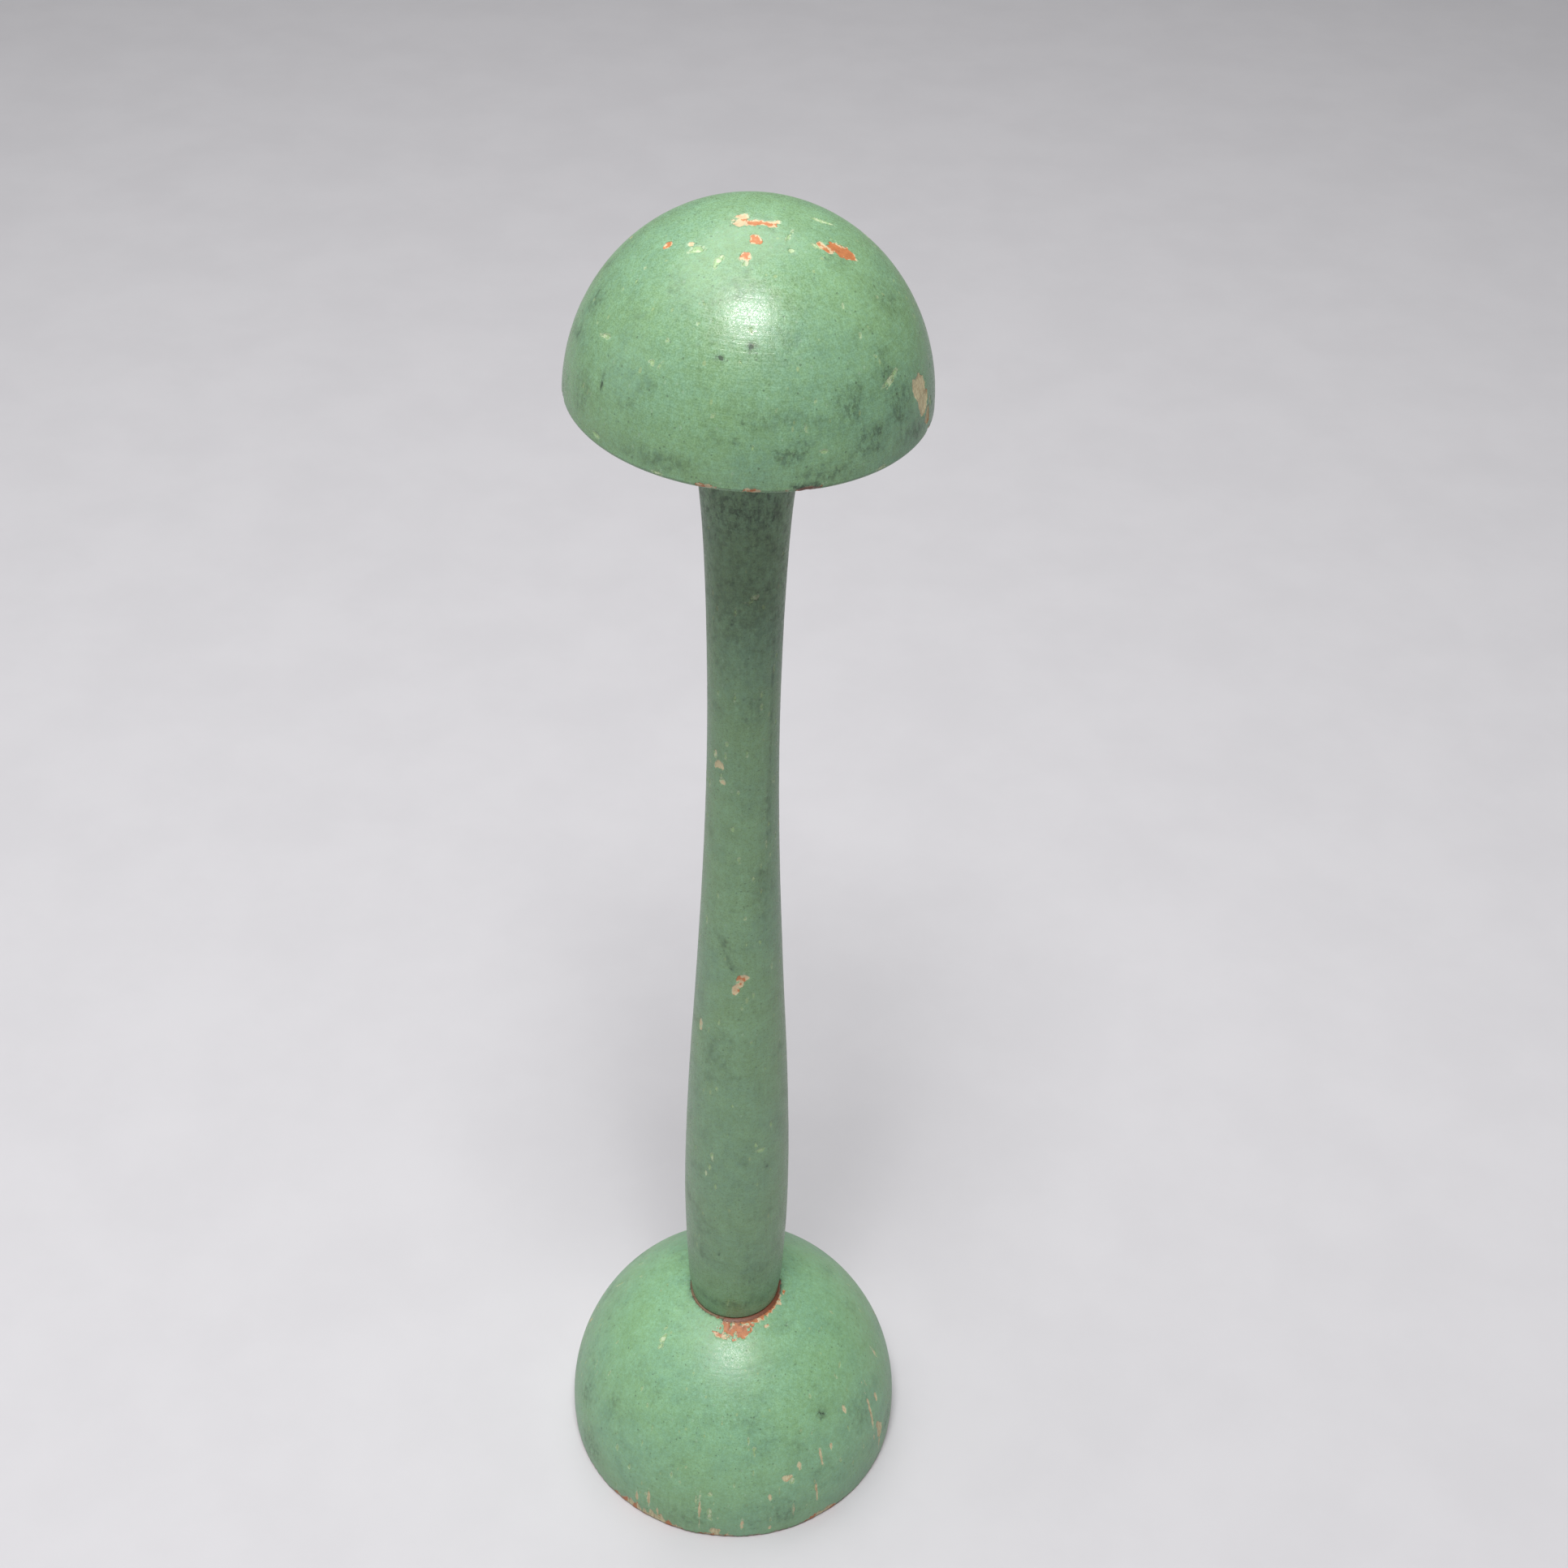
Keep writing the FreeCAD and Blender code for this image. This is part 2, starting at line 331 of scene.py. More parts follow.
# short upright nicks all round, where the paint has only split along the grain
for _ in range(130):
    base_wear.flake(
        knocks.uniform(0, 360), knocks.triangular(2, 68, 16), knocks.uniform(0.22, 0.36),
        knocks.uniform(0.4, 1.3), knocks.uniform(0.1, 0.3),
    )


# degrees round, degrees to each side, height
BOTTOM_WEAR = [(-31, 18, 5.2), (35, 9, 2.6), (-4, 8, 1.8), (150, 26, 5.0), (238, 20, 6.0)]


def wear_bottom_edge(wear):
    """Wood and red coat laid bare where the stand was slid about, ragged upwards with the grain."""
    places = wear.places
    most = np.zeros(len(places))
    for angle, reach, height in BOTTOM_WEAR:
        turned = np.abs((wear.angle - angle + 180) % 360 - 180)
        most = np.maximum(most, height * ease(reach, 0.3 * reach, turned))
    rise = 0.9 + most * (0.75 + 0.9 * grain(places, (1.5, 9.0), 4.0))
    rise += 1.2 * grain(places, (0.9, 9.0), 8.0)
    inside = rise - places[:, 2]
    changed = wear.painted & (inside > wear.bare) & (places[:, 2] < 12)
    wear.bare[changed] = inside[changed]
    red_islands = ease(-0.1, 0.2, grain(places, (2.4, 5.0), 16.0))
    wear.layer[changed] = (1.85 - 0.65 * red_islands)[changed]


FOOT_SEAT_R = 16.0
CRACK_RIGHT = 42         # degrees round to the middle of the wide red break
CRACK_LEFT = -45         # and to the middle of the pale line


def crack_round_foot(wear):
    """The paint that once bridged the joint has broken off in a ring: wide and red at the front
    right, a pale line at the left. The seat under the stem and a ring just round the foot are darkened:
    partly a stain of old glue, partly painted shade in the joint."""
    places = wear.places
    radius = np.hypot(places[:, 0], places[:, 1])
    near = wear.painted & (places[:, 2] > SEAT_Z - 8)
    right = np.abs((wear.angle - CRACK_RIGHT + 180) % 360 - 180) + 14 * grain(places, 2.0, 12.0)
    width = 0.9 * ease(62, 48, right) + 1.5 * ease(40, 22, right)
    left = np.abs((wear.angle - CRACK_LEFT + 180) % 360 - 180)
    pale = 0.45 * ease(38, 25, left)
    ragged = 0.7 * grain(places, 1.6, 6.0) * (width + 0.5 * pale)
    inside = FOOT_SEAT_R + width + pale + ragged - radius
    changed = near & (inside > wear.bare)
    wear.bare[changed] = inside[changed]
    wear.layer[changed] = np.where(width > pale, 1.15, 0.5)[changed]
    # a ring just round the foot, and the seat under it, are darkened: partly an old stain, partly
    # painted shade in the joint
    gap = ease(FOOT_SEAT_R + 2.1, FOOT_SEAT_R + 1.1, radius + 0.5 * grain(places, 2.0, 9.0))
    stain = 0.9 * gap * (0.3 + 0.7 * ease(0.0, 0.4, width))
    wear.dirt_and_shade[near] = np.maximum(wear.dirt_and_shade, stain)[near]
    seat = (places[:, 2] > SEAT_Z - 0.3) & (radius < SEAT_R + 0.1)
    wear.layer[seat] = np.where(width > pale, 1.2, 1.5)[seat]
    wear.dirt_and_shade[seat] = 0.88


wear_bottom_edge(base_wear)
crack_round_foot(base_wear)
# degrees round, height, half width, half length, layer, tilt, raggedness
FOOT_PATCH = [
    (2, 69.4, 4.8, 2.2, 1.22, 0, 0.9),
    (-9, 68.3, 3.6, 1.0, 1.1, -16, 0.8),
    (9, 68.7, 2.7, 1.8, 1.25, 30, 0.8),
    (14, 69.6, 2.2, 1.0, 1.2, 0, 0.8),
]
for flake in FOOT_PATCH:
    base_wear.flake(*flake)
DOME_PAINT = 0.22        # two brushed coats together
base_wear.lay_on(DOME_PAINT)


def node(tree, kind, sockets=None, **settings):
    """Adds a shader node; a socket's value may be a number, a colour or another node's output."""
    made = tree.nodes.new("ShaderNode" + kind)
    for key, value in settings.items():
        setattr(made, key, value)
    for key, value in (sockets or {}).items():
        if isinstance(value, bpy.types.NodeSocket):
            tree.links.new(value, made.inputs[key])
        else:
            made.inputs[key].default_value = value
    return made


def maths(tree, operation, first, second=0.0, third=0.0):
    """One sum on values that differ over the surface; MULTIPLY_ADD is first * second + third."""
    return node(tree, "Math", {0: first, 1: second, 2: third}, operation=operation).outputs[0]


def ramp(tree, value, low, high, to_low=0.0, to_high=1.0):
    """A smooth step from one value to another."""
    made = node(
        tree, "MapRange",
        {"Value": value, "From Min": low, "From Max": high, "To Min": to_low, "To Max": to_high},
        interpolation_type="SMOOTHSTEP",
    )
    return made.outputs["Result"]


def blend_colour(tree, share, first, second, way="MIX"):
    """The first colour where the share is 0, the second where it is 1."""
    made = node(tree, "Mix", {"Factor": share}, data_type="RGBA", blend_type=way)
    for place, value in ((6, first), (7, second)):
        if isinstance(value, bpy.types.NodeSocket):
            tree.links.new(value, made.inputs[place])
        else:
            made.inputs[place].default_value = (*value, 1)
    return made.outputs[2]


def clouds(tree, where, size, detail=2.0, roughness=0.5, stretch=(1, 1, 1), distortion=0.0):
    """Noise with features about this many millimetres wide, stretched along any axis."""
    scaled = node(tree, "Mapping", {"Vector": where, "Scale": [1 / s for s in stretch]}).outputs[0]
    return node(
        tree, "TexNoise",
        {
            "Vector": scaled, "Scale": 1 / (size * MM), "Detail": detail, "Roughness": roughness,
            "Distortion": distortion,
        },
    ).outputs["Fac"]


def specks(tree, where, size, share, fill, stretch=(1, 1, 1)):
    """Small scattered dots: one cell in so many holds a dot, which fills part of the cell."""
    scaled = node(tree, "Mapping", {"Vector": where, "Scale": [1 / s for s in stretch]}).outputs[0]
    wobble = node(tree, "TexNoise", {"Vector": scaled, "Scale": 2.2 / (size * MM), "Detail": 2.0})
    cells = node(tree, "TexVoronoi", {"Vector": scaled, "Scale": 1 / (size * MM)})
    pick = node(tree, "SeparateColor", {"Color": cells.outputs["Color"]})
    chosen = maths(tree, "LESS_THAN", pick.outputs[0], share)
    reach = maths(tree, "MULTIPLY", pick.outputs[1], fill)
    loose = maths(tree, "MULTIPLY_ADD", wobble.outputs["Fac"], 0.35, cells.outputs["Distance"])
    loose = maths(tree, "SUBTRACT", loose, 0.175)
    inside = ramp(tree, maths(tree, "SUBTRACT", reach, loose), -0.04, 0.06)
    return maths(tree, "MULTIPLY", inside, chosen)


PALE_EDGE = (0.46, 0.55, 0.35)
PEACH_COAT = (0.58, 0.45, 0.27)
RED_COAT = (0.47, 0.172, 0.062)
BARE_WOOD = (0.62, 0.56, 0.35)
BARE_WOOD_DARK = (0.42, 0.33, 0.19)
SCUFF = (0.27, 0.42, 0.20)
BLACK_GRIME_AND_SHADE = (0.022, 0.033, 0.024)
MAROON_STAIN_AND_SHADE = (0.075, 0.018, 0.010)
HANDLED_WOOD_AND_SHADE = (0.11, 0.075, 0.045)
YELLOW_FLECK = (0.36, 0.44, 0.20)
PALE_FLECK = (0.34, 0.47, 0.34)
DARK_SPECK = (0.055, 0.085, 0.05)
# the layers over which the red coat comes to show, and then the wood
RED_SHOWS = (0.45, 0.66)
WOOD_SHOWS = (1.30, 1.60)
# heights of the relief, in millimetres
GRAIN_RELIEF = 0.055
LATHE_RELIEF = 0.080
GRIT_RELIEF = 0.030
SWELL_RELIEF = 0.10
BREAK_STEP = 0.14
OPEN_GRAIN_RELIEF = 0.16


def painted_wood(name, green, green_warm, green_cool, dulled, lean=0.0, pivot=(0, 0, 0)):
    """Brushed semi-gloss paint over a red coat over wood, broken where the wear says.

    lean and pivot set the pattern upright on a piece that leans; dulled adds to its roughness
    """
    material = bpy.data.materials.new(name)
    material.use_nodes = True
    tree = material.node_tree
    shader = tree.nodes["Principled BSDF"]
    place = node(tree, "TexCoord").outputs["Object"]
    where = node(
        tree, "Mapping", {"Vector": place, "Location": pivot, "Rotation": (0, lean, 0)},
        vector_type="TEXTURE",
    ).outputs[0]
    bare = node(tree, "Attribute", attribute_name="bare").outputs["Fac"]
    layer = node(tree, "Attribute", attribute_name="layer").outputs["Fac"]
    dirt_and_shade = node(tree, "Attribute", attribute_name="dirt_and_shade").outputs["Fac"]

    # the green coat: warm and cool clouds, brushed streaks, flecks and specks
    wide = clouds(tree, where, 30, 3.0, 0.55)
    middle = clouds(tree, where, 6.0, 4.0, 0.62)
    upright = clouds(tree, where, 1.1, 3.0, 0.6, (1, 1, 9))
    rings = clouds(tree, where, 0.8, 3.0, 0.6, (30, 30, 1))
    fine = clouds(tree, where, 1.3, 3.0, 0.65)
    tiny = clouds(tree, where, 0.42, 2.0, 0.6)
    colour = blend_colour(tree, ramp(tree, wide, 0.36, 0.64), green_warm, green_cool)
    colour = blend_colour(tree, ramp(tree, middle, 0.3, 0.7, 0.0, 0.7), colour, green)
    colour = blend_colour(tree, ramp(tree, fine, 0.42, 0.68, 0.0, 0.5), colour, green_cool)
    colour = blend_colour(tree, ramp(tree, fine, 0.58, 0.34, 0.0, 0.5), colour, green_warm)
    shade = maths(tree, "MULTIPLY_ADD", middle, 0.44, 0.78)
    shade = maths(tree, "MULTIPLY", shade, maths(tree, "MULTIPLY_ADD", upright, 0.30, 0.85))
    shade = maths(tree, "MULTIPLY", shade, maths(tree, "MULTIPLY_ADD", fine, 0.50, 0.75))
    shade = maths(tree, "MULTIPLY", shade, maths(tree, "MULTIPLY_ADD", tiny, 0.70, 0.65))
    grey = node(tree, "CombineColor", {0: shade, 1: shade, 2: shade}).outputs[0]
    colour = blend_colour(tree, 1.0, colour, grey, "MULTIPLY")
    yellow_flecks = specks(tree, where, 2.3, 0.20, 0.22, (1, 1, 2.6))
    pale_flecks = specks(tree, where, 1.5, 0.14, 0.28, (1, 1, 1.5))
    dark_specks = specks(tree, where, 1.2, 0.22, 0.30)
    colour = blend_colour(tree, maths(tree, "MULTIPLY", yellow_flecks, 0.42), colour, YELLOW_FLECK)
    colour = blend_colour(tree, maths(tree, "MULTIPLY", pale_flecks, 0.32), colour, PALE_FLECK)
    colour = blend_colour(tree, maths(tree, "MULTIPLY", dark_specks, 0.50), colour, DARK_SPECK)

    # the broken edge, the coats under it and the wood
    fray = maths(tree, "SUBTRACT", clouds(tree, where, 0.5, 3.0, 0.65, (1, 1, 1.8)), 0.5)
    patchy = clouds(tree, where, 1.9, 3.0, 0.6)
    edge = maths(tree, "MULTIPLY_ADD", fray, 0.6, bare)
    chipped = ramp(tree, edge, -0.02, 0.05)
    pale_share = ramp(tree, patchy, 0.46, 0.60, 0.0, 0.7)
    rim = maths(tree, "MULTIPLY", ramp(tree, edge, -0.34, -0.03), pale_share)
    colour = blend_colour(tree, rim, colour, PALE_EDGE)
    shelf_share = ramp(tree, patchy, 0.40, 0.58)
    shelf = maths(tree, "MULTIPLY", ramp(tree, edge, 0.05, 0.75, 1.0, 0.0), shelf_share)
    deep = maths(tree, "MULTIPLY_ADD", shelf, -0.5, layer)
    peachy = maths(tree, "MULTIPLY_ADD", maths(tree, "SUBTRACT", 1.0, deep), 1.1, patchy)
    red_tone = blend_colour(tree, ramp(tree, peachy, 0.44, 0.58), RED_COAT, PEACH_COAT)
    streaks = clouds(tree, where, 0.6, 4.0, 0.65, (1, 1, 14), 0.4)
    wood_tone = blend_colour(tree, ramp(tree, streaks, 0.30, 0.62), BARE_WOOD_DARK, BARE_WOOD)
    scuff = blend_colour(tree, ramp(tree, deep, 0.15, 0.42), SCUFF, PALE_EDGE)
    under = blend_colour(tree, ramp(tree, deep, *RED_SHOWS), scuff, red_tone)
    under = blend_colour(tree, ramp(tree, deep, *WOOD_SHOWS), under, wood_tone)
    colour = blend_colour(tree, chipped, colour, under)

    # grime lies over everything, in speckled clouds; the same darkening paints shade under the head,
    # down the stem's right side and round the foot
    blotch = ramp(tree, clouds(tree, where, 1.9, 5.0, 0.8, (1, 1, 1.6)), 0.42, 0.62, 0.15, 1.0)
    film = ramp(tree, clouds(tree, where, 11, 7.0, 0.78), 0.52, 0.76, 0.0, 0.42)
    grime_and_shade_share = maths(tree, "MULTIPLY", dirt_and_shade, blotch)
    grime_and_shade_share = maths(tree, "ADD", grime_and_shade_share, film)
    grime_and_shade_share = maths(tree, "MAXIMUM", grime_and_shade_share, ramp(tree, dirt_and_shade, 0.66, 0.9, 0.0, 0.8))
    old_grime_and_shade = blend_colour(tree, ramp(tree, deep, *WOOD_SHOWS), MAROON_STAIN_AND_SHADE, HANDLED_WOOD_AND_SHADE)
    grime_and_shade_colour = blend_colour(tree, chipped, BLACK_GRIME_AND_SHADE, old_grime_and_shade)
    colour = blend_colour(tree, grime_and_shade_share, colour, grime_and_shade_colour)
    tree.links.new(colour, shader.inputs["Base Color"])

    # gloss: rubbed and dusty in grains and clouds, dull where the paint is gone
    gloss = maths(tree, "MULTIPLY_ADD", fine, 0.30, 0.06 + dulled)
    gloss = maths(tree, "MULTIPLY_ADD", ramp(tree, tiny, 0.42, 0.58), 0.24, gloss)
    gloss = maths(tree, "MULTIPLY_ADD", grime_and_shade_share, 0.25, gloss)
    gloss = maths(tree, "MAXIMUM", gloss, 0.16)
    dull = ramp(tree, deep, 1.1, 1.6, 0.48, 0.78)
    gloss = node(tree, "Mix", {0: chipped, 2: gloss, 3: dull}, data_type="FLOAT").outputs[0]
    tree.links.new(gloss, shader.inputs["Roughness"])
    shader.inputs["Specular IOR Level"].default_value = 0.5

    # relief: grain under the paint, lathe rings, grit, swells, and the step at a broken edge
    relief = maths(tree, "MULTIPLY", upright, GRAIN_RELIEF)
    relief = maths(tree, "MULTIPLY_ADD", rings, LATHE_RELIEF, relief)
    relief = maths(tree, "MULTIPLY_ADD", tiny, GRIT_RELIEF, relief)
    relief = maths(tree, "MULTIPLY_ADD", middle, SWELL_RELIEF, relief)
    relief = maths(tree, "MULTIPLY_ADD", chipped, -BREAK_STEP, relief)
    bared_grain = maths(tree, "MULTIPLY", streaks, chipped)
    bared_grain = maths(tree, "MULTIPLY", bared_grain, ramp(tree, deep, 1.2, 1.6))
    relief = maths(tree, "MULTIPLY_ADD", bared_grain, OPEN_GRAIN_RELIEF, relief)
    bump = node(tree, "Bump", {"Height": relief, "Distance": MM, "Strength": 1.0})
    tree.links.new(bump.outputs[0], shader.inputs["Normal"])
    return material


def give(piece, material, slot, *stands_for):
    """Gives a piece its finish and puts it in the place of its plain solid."""
    piece.data.materials.clear()
    piece.data.materials.append(material)
    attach(piece, "root")
    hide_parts(*stands_for)


# the three pieces share one coat of paint: the base's green is set lighter than the head's, painted
# light on the base
base_green = painted_wood(
    "base_green", green=(0.205, 0.376, 0.211), green_warm=(0.214, 0.386, 0.188),
    green_cool=(0.193, 0.370, 0.228), dulled=0.11,
)
give(base_dome, base_green, "base_paint", "base_dome")

# ---- The stem ------------------------------------------------------------------------------------
# A spindle turned from one square of the same wood, full above its foot and waisted near the top.
# A spigot centres it on the base, and a thinner tenon is glued up into the head. Its shoulder was
# cut a little out of square.

FOOT_R = 15.9
FOOT_EDGE_R = 1.0
SPIGOT_R = 10.0
SPIGOT_L = 15.0
TENON_R = 8.0
TENON_L = 30.0
TENON_CHAMFER = 1.0
HEAD_RIM_Z = 444.0
HEAD_LEAN = math.radians(2.4)
PILOT_R = 3.2
PILOT_END_Z = 104.1
PILOT_TIP = 2
# height, radius
STEM_OUTLINE = [
    (SEAT_Z + FOOT_EDGE_R, FOOT_R),
    (84.0, 17.1),
    (128.0, 18.2),
    (182.0, 16.75),
    (240.0, 13.75),
    (300.0, 11.4),
    (350.0, 11.0),
    (400.0, 12.4),
    (428.0, 15.0),
    (HEAD_RIM_Z, 18.5),
]


def stem_radius(height):
    """Radius of the stem at a height: a smooth curve through the outline's points."""
    last = len(STEM_OUTLINE) - 2
    i = 0
    while i < last and height > STEM_OUTLINE[i + 1][0]:
        i += 1

    def slope(k):
        z0, r0 = STEM_OUTLINE[max(k - 1, 0)]
        z1, r1 = STEM_OUTLINE[min(k + 1, last + 1)]
        return (r1 - r0) / (z1 - z0)

    (z0, r0), (z1, r1) = STEM_OUTLINE[i], STEM_OUTLINE[i + 1]
    run = z1 - z0
    t = (height - z0) / run
    return (
        r0 * (1 + 2 * t) * (1 - t) ** 2 + r1 * t * t * (3 - 2 * t)
        + run * (slope(i) * t * (1 - t) ** 2 - slope(i + 1) * t * t * (1 - t))
    )


STEM_STEPS = 144
STEM_FINE = 0.78
stem_from = STEM_OUTLINE[0][0]
stem_run = HEAD_RIM_Z - stem_from
ring_count = round(stem_run / STEM_FINE)
stem_heights = [stem_from + stem_run * i / ring_count for i in range(ring_count + 1)]
spigot_end = SEAT_Z - SPIGOT_L
stem_outline = [(0, PILOT_END_Z + PILOT_TIP), (PILOT_R, PILOT_END_Z), (PILOT_R, spigot_end)]
stem_outline += [(SPIGOT_R - TENON_CHAMFER, spigot_end), (SPIGOT_R, spigot_end + TENON_CHAMFER)]
stem_outline += [(SPIGOT_R, SEAT_Z), (FOOT_R - FOOT_EDGE_R, SEAT_Z)]
foot_edge = rounded_edge(FOOT_R - FOOT_EDGE_R, SEAT_Z + FOOT_EDGE_R, FOOT_EDGE_R, -90, 0, 5)
stem_outline += foot_edge[1:-1]
stem_outline += [(stem_radius(z), z) for z in stem_heights]
stem_outline += [(TENON_R, HEAD_RIM_Z), (TENON_R, HEAD_RIM_Z + TENON_L - TENON_CHAMFER)]
stem_outline += [(TENON_R - TENON_CHAMFER, HEAD_RIM_Z + TENON_L), (0, HEAD_RIM_Z + TENON_L)]
stem = turn("stem_painted", stem_outline, STEM_STEPS)


def stem_is_painted(places):
    """The outside between the foot and the head, and not the spigot, the tenon or the hole."""
    radius = np.hypot(places[:, 0], places[:, 1])
    height = places[:, 2]
    return (radius > SPIGOT_R + 0.5) & (height > SEAT_Z + 0.1) & (height < HEAD_RIM_Z - 0.1)


stem_wear = Wear(stem, stem_is_painted)
# degrees round, height, half width, half length, layer, tilt
STEM_FLAKES = [
    (16, 385.5, 1.3, 0.9, 0.35, 20),
    (8, 384, 1.0, 0.45, 0.3, 0),
    (-41, 322, 2.0, 1.4, 2.0, 30),
    (-33, 317, 1.3, 1.0, 0.6, 0),
    (-48, 326, 0.7, 1.2, 0.6, 0),
    (5, 240, 2.0, 1.4, 1.03, 35),
    (-3, 235, 1.2, 2.4, 0.97, -15),
    (2, 237.5, 1.0, 1.4, 1.1, 0),
    (-54, 214, 0.8, 3.0, 0.6, 0),
    (-27, 157, 0.6, 1.8, 0.45, 0),
    (-30, 152, 0.5, 1.6, 0.4, 0),
    (-35, 148, 0.5, 1.6, 0.4, 0),
    (-23, 143, 0.4, 1.4, 0.35, 0),
    (30, 161, 1.6, 1.0, 0.3, 0),
    (22, 164, 0.7, 1.2, 0.3, 0),
    (-12, 300, 0.5, 0.9, 0.35, 0),
    (20, 280, 0.5, 1.2, 0.3, 0),
    (-25, 190, 0.5, 0.9, 0.3, 0),
]
for flake in STEM_FLAKES:
    stem_wear.flake(*flake)
# degrees round, height, half width, half length, strength, tilt
STEM_DIRT_AND_SHADE = [
    (-20, 253, 2.4, 6.0, 0.55, 25),
    (-12, 246, 1.6, 4.0, 0.5, 25),
    (37, 152, 1.3, 1.2, 0.8),
    (-17, 108, 0.8, 1.8, 0.8),
    (10, 345, 5.0, 9.0, 0.35),
    (-30, 205, 5.0, 8.0, 0.35),
    (25, 95, 6.0, 9.0, 0.45),
    (0, 79, 24, 3, 0.45),
    (35, 270, 5, 16, 0.3),
    (-40, 120, 6, 10, 0.3),
    # the next two rows darken the top of the stem under the head: painted shade of the head
    (0, 418, 24, 24, 0.65),
    (0, 385, 24, 36, 0.4),
    # the next two rows are a painted dark line down the stem's right side, where the reflection of the
    # table ends
    (50, 350, 0.9, 75, 0.5),
    (46, 300, 0.7, 30, 0.4),
]
for dirt_and_shade in STEM_DIRT_AND_SHADE:
    stem_wear.darken_spot(*dirt_and_shade)
knocks = random.Random(23)
for _ in range(22):
    stem_wear.flake(
        knocks.uniform(85, 275), knocks.uniform(90, 420), knocks.uniform(0.4, 1.5),
        knocks.uniform(0.6, 2.6), knocks.choice((0.3, 0.4, 1.3, 2.0)),
    )
for _ in range(16):
    stem_wear.darken_spot(
        knocks.uniform(75, 285), knocks.uniform(80, 430), knocks.uniform(2, 6),
        knocks.uniform(3, 12), knocks.uniform(0.25, 0.6),
    )
for _ in range(170):
    stem_wear.flake(
        knocks.uniform(0, 360), knocks.triangular(78, 432, 290), knocks.uniform(0.26, 0.42),
        knocks.uniform(0.4, 1.2), knocks.uniform(0.1, 0.3),
    )
STEM_PAINT = 0.2
stem_wear.lay_on(STEM_PAINT)


LEAN_RUN = 14            # the stem's side turns into the lean over this length below the head


def lean_shoulder(piece):
    """Tips the tenon and the cut at the top of the stem, about the middle of the head's underside."""
    places, _ = points_of(piece)
    radius = np.hypot(places[:, 0], places[:, 1])
    is_tenon = (radius < TENON_R + 0.01) & (places[:, 2] > PILOT_END_Z + 5)
    share = np.where(is_tenon, 1.0, ease(HEAD_RIM_Z - LEAN_RUN, HEAD_RIM_Z, places[:, 2]))
    angle = HEAD_LEAN * share
    x = places[:, 0].copy()
    z = places[:, 2] - HEAD_RIM_Z
    turned_z = -x * np.sin(angle) + z * np.cos(angle)
    places[:, 2] = HEAD_RIM_Z + np.where(z > 0, turned_z, z - x * np.tan(angle))
    places[:, 0] = np.where(z > 0, x * np.cos(angle) + z * np.sin(angle), x)
    piece.data.vertices.foreach_set("co", (places * MM).ravel())
    piece.data.update()


lean_shoulder(stem)
# the stem's green is set darker than the head's: painted shade on the stem
stem_green = painted_wood(
    "stem_green", green=(0.182, 0.310, 0.175), green_warm=(0.192, 0.320, 0.159),
    green_cool=(0.174, 0.303, 0.190), dulled=0.05,
)
give(stem, stem_green, "stem_paint", "stem")

# ---- The head ------------------------------------------------------------------------------------
# A second dome, smaller than the base and cut flat at its widest, with a blind mortise that takes
# the stem's tenon. Its crown is chipped through to the red coat, and its right side to the wood.

HEAD_R = 50.0
HEAD_RISE = 53.5
HEAD_EDGE_R = 1.6
MORTISE_R = 8.05
MORTISE_L = 30.6
head_low = math.degrees(math.asin(HEAD_EDGE_R / HEAD_RISE))
head_outline = dome_outline(HEAD_R, HEAD_RISE, 0, 90, head_low)
head_outline[0] = (0, HEAD_RISE)
head_outline += rounded_edge(HEAD_R - HEAD_EDGE_R, HEAD_EDGE_R, HEAD_EDGE_R, -6, -90)
head_outline += filled([(HEAD_R - HEAD_EDGE_R, 0), (MORTISE_R, 0)], 2.5)[1:]
head_outline += [(MORTISE_R, MORTISE_L), (0, MORTISE_L)]
head_dome = turn("head_dome_painted", head_outline, TURN_STEPS)


def head_is_painted(places):
    """The dome and the flat under it, and not the mortise."""
    radius = np.hypot(places[:, 0], places[:, 1])
    crown = (places[:, 2] / HEAD_RISE) ** 2 + (radius / HEAD_R) ** 2 > 0.98
    return crown | (places[:, 2] < HEAD_EDGE_R + 0.1) & (radius > MORTISE_R + 0.1)


head_wear = Wear(head_dome, head_is_painted)


def up_the_dome(latitude):
    """Height above the rim at an angle of latitude."""
    return HEAD_RISE * math.sin(math.radians(latitude))


